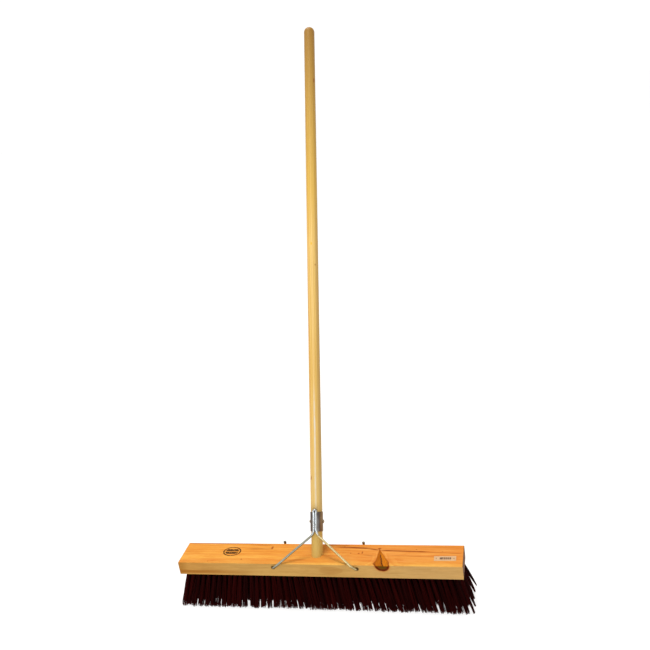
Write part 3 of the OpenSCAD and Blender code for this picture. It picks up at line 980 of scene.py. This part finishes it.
def tuft_axes(node):
    """Top and tip of every tuft in a CAD row, from the separate solids in its mesh."""
    mesh = frame["nodes"][node].data
    corners = [tuple(round(c / MM, 3) for c in v.co) for v in mesh.vertices]
    group = {c: c for c in corners}

    def root(c):
        while group[c] != c:
            group[c] = group[group[c]]
            c = group[c]
        return c

    for edge in mesh.edges:
        a, b = root(corners[edge.vertices[0]]), root(corners[edge.vertices[1]])
        if a != b:
            group[a] = b
    solids = {}
    for c in sorted(group):
        solids.setdefault(root(c), []).append(Vector(c) * MM)
    axes = []
    for points in solids.values():
        height = max(p.z for p in points)
        top = [p for p in points if p.z > 0.5 * height]
        tip = [p for p in points if p.z < 0.05 * MM]
        axes.append((sum(top, Vector()) / len(top), sum(tip, Vector()) / len(tip)))
    return sorted(axes, key=lambda axis: axis[0].x)


class BristleRow:
    """Gathers the filaments of one row and keeps them inside the box of its CAD row."""

    def __init__(self, box, seed):
        low, high = box
        room = 1.2 * FILAMENT_RADIUS
        self.x_range = (low.x + room, high.x - END_ROOM)
        self.y_range = (low.y + room, high.y - room)
        self.rng = random.Random(seed)
        self.verts, self.faces, self.tones = [], [], []

    def jitter(self, x, y):
        """A random offset, with its scatter along X and Y in millimetres."""
        return Vector((self.rng.gauss(0, x), self.rng.gauss(0, y), 0)) * MM

    def add_filament(self, start, end):
        """A stiff strand with a slight bow. Its tip is cut blunt."""
        bow = self.jitter(*BOW_SCATTER)
        axis = (end - start).normalized()
        u = axis.cross(Vector((0, 1, 0))).normalized()
        v = axis.cross(u)
        self.faces += tube_faces(len(self.verts), FILAMENT_STEPS + 1, FILAMENT_SIDES)
        thick = FILAMENT_RADIUS * self.rng.uniform(*THICKNESS)
        section = circle(FILAMENT_SIDES)
        for i in range(FILAMENT_STEPS + 1):
            t = i / FILAMENT_STEPS
            at = start.lerp(end, t) + bow * 4 * t * (1 - t)
            r = thick * (1.0 if i < FILAMENT_STEPS else TIP_THICKNESS)
            for x, y in section:
                point = at + u * x * r + v * y * r
                self.verts.append((point.x, point.y, max(point.z, 0.0)))

    def add_tuft(self, top, tip, bunching):
        """Fans filaments out from the mouth of a tuft's hole, in a spiral that fills a disc."""
        rng = self.rng
        down = (tip - top).normalized()
        mouth = top + down * ((top.z - BLOCK_UNDER) / -down.z)
        side = down.cross(Vector((0, 1, 0))).normalized()
        front = side.cross(down)
        root_share = min(1.0, 0.5 + bunching)
        wear = rng.uniform(*TUFT_WEAR) * MM
        splay = rng.uniform(*TUFT_SPLAY)
        bent = self.jitter(*TUFT_BEND)
        tuft_tone = rng.random()
        for n in range(FILAMENTS):
            a = GOLDEN_ANGLE * n + rng.uniform(-TURN_SCATTER, TURN_SCATTER)
            r = math.sqrt((n + 0.5) / FILAMENTS)
            outward = side * math.cos(a) * r + front * math.sin(a) * r
            start = mouth - down * HIDDEN_ROOT + outward * MOUTH_RADIUS * root_share
            fanned = outward * TIP_RADIUS * splay * (1 + rng.gauss(0, LEAN_SCATTER))
            fanned += self.jitter(*TIP_SCATTER)
            end = tip + bent + fanned * bunching
            end.x = min(max(end.x, self.x_range[0]), self.x_range[1])
            end.y = min(max(end.y, self.y_range[0]), self.y_range[1])
            cut = max(0.0, wear + abs(rng.gauss(0, CUT_SCATTER)) * MM - CUT_SLACK)
            end += (start - end) * (cut / (start.z - end.z))
            self.add_filament(start, end)
            self.tones.append(SHARED_TONE * tuft_tone + (1 - SHARED_TONE) * rng.random())

    def mesh(self, name):
        """The row as one mesh, with each filament's tone on its vertices."""
        mesh = add_mesh(name, self.verts, self.faces)
        tone = mesh.attributes.new("filament_tone", "FLOAT", "POINT")
        corners = FILAMENT_SIDES * (FILAMENT_STEPS + 1)
        tone.data.foreach_set("value", [t for t in self.tones for _ in range(corners)])
        return mesh


def make_row(number, plastic, seed):
    node = f"tufts_row_{number}"
    row = BristleRow(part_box(node), seed)
    axes = tuft_axes(node)
    bunchings = [1.0] * (len(axes) - len(END_BUNCHING)) + list(END_BUNCHING)
    for (top, tip), bunching in zip(axes, bunchings):
        row.add_tuft(top, tip, bunching)
    name = f"bristles_row_{number}"
    piece(name, row.mesh(name), plastic, node)


# -------- build the object
def paint_cad(node, material):
    """Gives a CAD node that stays visible its material."""
    mesh = frame["nodes"][node].data
    mesh.materials.clear()
    mesh.materials.append(material)


ROWS = range(1, 6)
paint_cad("head_block", pine_block())
staple_steel = metal("staple_steel", clean=(0.62, 0.62, 0.62, 1), dull=(0.40, 0.38, 0.34, 1),
                     roughness=0.35, patch_scale=300, grain=(500, 500, 500))
for row in ROWS:
    paint_cad(f"staples_row_{row}", staple_steel)
make_handle()
make_ferrule()
make_rivet()
make_brace()
make_label()
plastic = bristle_plastic()
for row in ROWS:
    make_row(row, plastic, BRISTLE_SEED + row)


# -------- floor and light
FLOOR_REACH, FLOOR_GLOW = 14.0, 0.77


def make_floor():
    """A pale, slightly glowing sweep, as on a light table, so that shadows stay faint."""
    far = FLOOR_REACH
    corners = [(-far, -far, 0), (far, -far, 0), (far, far, 0), (-far, far, 0)]
    mesh = add_mesh("floor", corners, [(0, 1, 2, 3)])
    s = Shader("pale_floor")
    colour = s.mix(s.noise(s.place(), 2.0, 2), (0.26, 0.26, 0.26, 1), (0.28, 0.28, 0.28, 1))
    s.put(s.surface.inputs["Emission Color"], (1, 1, 1, 1))
    s.put(s.surface.inputs["Emission Strength"], FLOOR_GLOW)
    mesh.materials.append(s.finish(colour, 0.9, specular=0.0))
    floor = add_object("floor", mesh)


def add_light(name, kind, energy, colour, travel):
    """A light that shines along `travel`."""
    data = bpy.data.lights.new(name, kind)
    data.energy = energy
    data.color = colour
    light = add_object(name, data)
    light.rotation_mode = "QUATERNION"
    light.rotation_quaternion = Vector(travel).to_track_quat("-Z", "Y")
    return light


def sun(name, travel, strength, spread_degrees, colour):
    light = add_light(name, "SUN", strength, colour, travel)
    light.data.angle = math.radians(spread_degrees)


def softbox(name, place, target, size, power, colour):
    light = add_light(name, "AREA", power, colour, Vector(target) - Vector(place))
    light.data.shape = "DISK"
    light.data.size = size
    light.location = place


def make_world():
    """White round the horizon, greyer overhead and darkest at the upper right."""
    world = bpy.data.worlds.new("studio")
    world.use_nodes = True
    s = Nodes(world.node_tree)
    x, _, z = s.parts(s.add("ShaderNodeTexCoord", out="Generated"))
    overhead = s.spread(x, -0.3, 0.6, 0.62, 0.22, smooth=True)
    background = s.tree.nodes["Background"].inputs
    s.put(background["Strength"], s.spread(z, 0.28, 0.58, 1.08, overhead, smooth=True))
    s.put(background["Color"], (1, 1, 1, 1))
    bpy.context.scene.world = world


make_floor()
make_world()
sun("overhead", travel=(0.22, -0.22, -1.0), strength=1.1, spread_degrees=12.0,
    colour=(1.0, 0.97, 0.91))
softbox("ceiling", place=(-0.3, 0.5, 3.4), target=(0, 0.2, 0.3), size=2.4, power=68,
        colour=(1.0, 0.99, 0.96))
softbox("right", place=(1.5, -0.3, 1.9), target=(0, 0, 0.1), size=0.9, power=7,
        colour=(1.0, 0.96, 0.90))
softbox("front", place=(-0.9, -2.4, 1.5), target=(0, 0.1, 0.4), size=0.9, power=17,
        colour=(0.92, 0.96, 1.0))
bpy.context.scene.view_settings.view_transform = "Standard"
